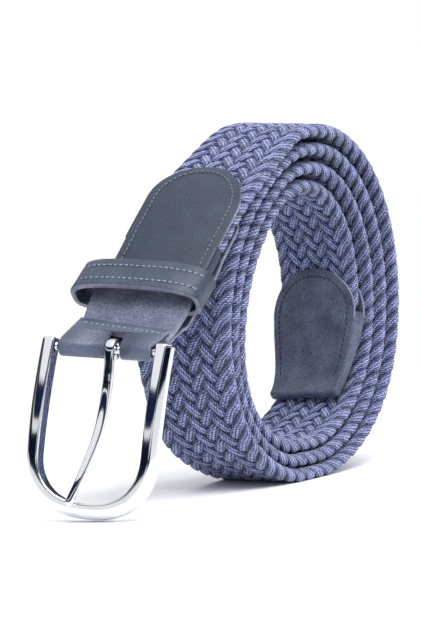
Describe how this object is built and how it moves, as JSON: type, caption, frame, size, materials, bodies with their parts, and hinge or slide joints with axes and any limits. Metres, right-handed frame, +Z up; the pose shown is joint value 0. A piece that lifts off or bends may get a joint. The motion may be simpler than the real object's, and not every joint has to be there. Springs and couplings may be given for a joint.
{
  "type": "elastic belt",
  "caption": "Rolled-up elastic braided belt with leather ends, a leather keeper and a chrome frame buckle with a hinged prong.",
  "frame": {"origin": "on the ground, under the middle of the roll", "axes": "+Z up; +Y along the roll's axis, from the rim nearest the viewer to the back rim; the buckle hangs on the -X side"},
  "size_m": [0.1819, 0.0483, 0.1279],
  "materials": {
    "braid": "matt braided yarn over elastic",
    "leather": "smooth slate grey",
    "chrome": "polished"
  },
  "bodies": {
    "belt": {"braided_strap": "braid", "tab_front": "leather", "tab_back": "leather", "keeper": "leather", "tip_cover": "leather"},
    "frame": {"buckle_frame": "chrome"},
    "prong": {"buckle_prong": "chrome"}
  },
  "joints": [
    {"name": "frame_hinge", "type": "hinge", "parent": "belt", "child": "frame", "pos_m": [-0.09131, -0.00334, 0.05245], "axis": [-0.2477, 0.9649, 0.0872], "range_deg": [-30, 70]},
    {"name": "prong_hinge", "type": "hinge", "parent": "frame", "child": "prong", "pos_m": [-0.09131, -0.00334, 0.05245], "axis": [-0.2477, 0.9649, 0.0872], "range_deg": [0, 80]}
  ]
}
